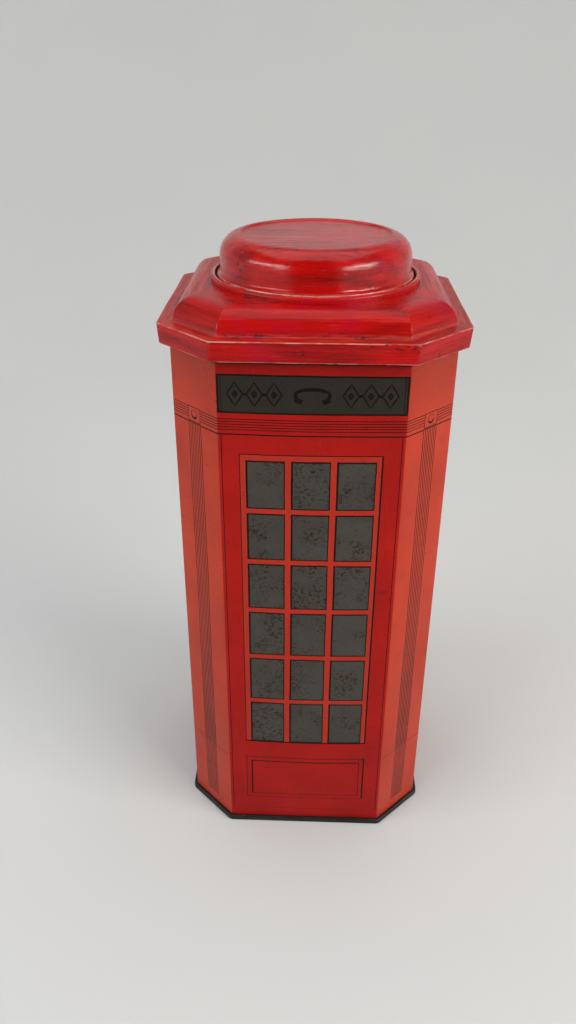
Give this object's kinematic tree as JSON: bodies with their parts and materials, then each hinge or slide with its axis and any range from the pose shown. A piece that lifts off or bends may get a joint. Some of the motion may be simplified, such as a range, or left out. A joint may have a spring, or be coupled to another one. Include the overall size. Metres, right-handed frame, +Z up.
{
  "type": "telephone kiosk tin",
  "caption": "Octagonal tinplate box shaped like a telephone kiosk, with a lift-off domed roof lid and a round slip cap on top.",
  "frame": {"origin": "centre of the folded base rim, on the surface that the tin stands on", "axes": "+Z up through the round cap, the tin's front faces -Y, +X to the right seen from the front"},
  "size_m": [0.0756, 0.0756, 0.1716],
  "materials": {
    "printed_body": "printed and varnished tinplate, worn",
    "painted_roof": "hand-brushed gloss enamel over tinplate",
    "base_rim": "black varnish, rubbed and tarnished",
    "steel_wire": "dull drawn wire"
  },
  "bodies": {
    "tin_body": {"body_front": "printed_body", "body_rear": "printed_body", "mouth_wire": "steel_wire", "base_pan": "base_rim"},
    "roof_lid": {"lid_band": "painted_roof", "lid_panel": "painted_roof", "neck_ring": "painted_roof"},
    "round_cap": {"drum_cap": "painted_roof"}
  },
  "joints": [
    {"name": "lid_lift", "type": "slide", "parent": "tin_body", "child": "roof_lid", "axis": [0, 0, 1], "range_m": [0, 0.08]},
    {"name": "cap_lift", "type": "slide", "parent": "roof_lid", "child": "round_cap", "axis": [0, 0, 1], "range_m": [0, 0.04]}
  ]
}
